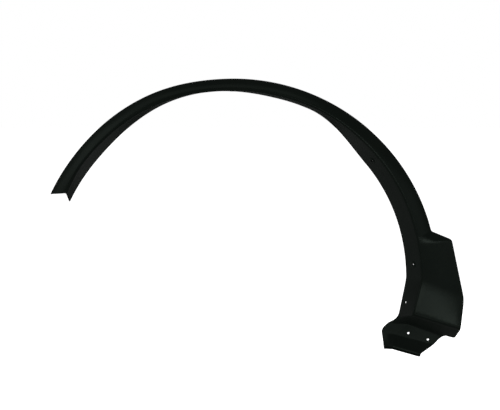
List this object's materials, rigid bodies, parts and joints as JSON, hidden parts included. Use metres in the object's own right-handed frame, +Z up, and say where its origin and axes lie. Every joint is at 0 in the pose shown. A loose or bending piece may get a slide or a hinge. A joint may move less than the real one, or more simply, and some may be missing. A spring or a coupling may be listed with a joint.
{
  "type": "wheel arch trim",
  "caption": "Black moulded trim for the edge of a front wheel arch: a narrow arched face folded over an inboard flange, widening behind the wheel into a foot with a screw tab.",
  "frame": {"origin": "Centre of the screw hole at the crown of the arch, on the outer face of its seat, which faces down.", "axes": "+X runs rearward along the side of the car, +Z up, and +Y inboard to the body. The front tip of the trim is at -X and its foot at +X."},
  "size_m": [0.8714, 0.0582, 0.5975],
  "materials": {
    "trim": "matte"
  },
  "bodies": {
    "root": {"arch_trim": "trim"}
  },
  "joints": []
}
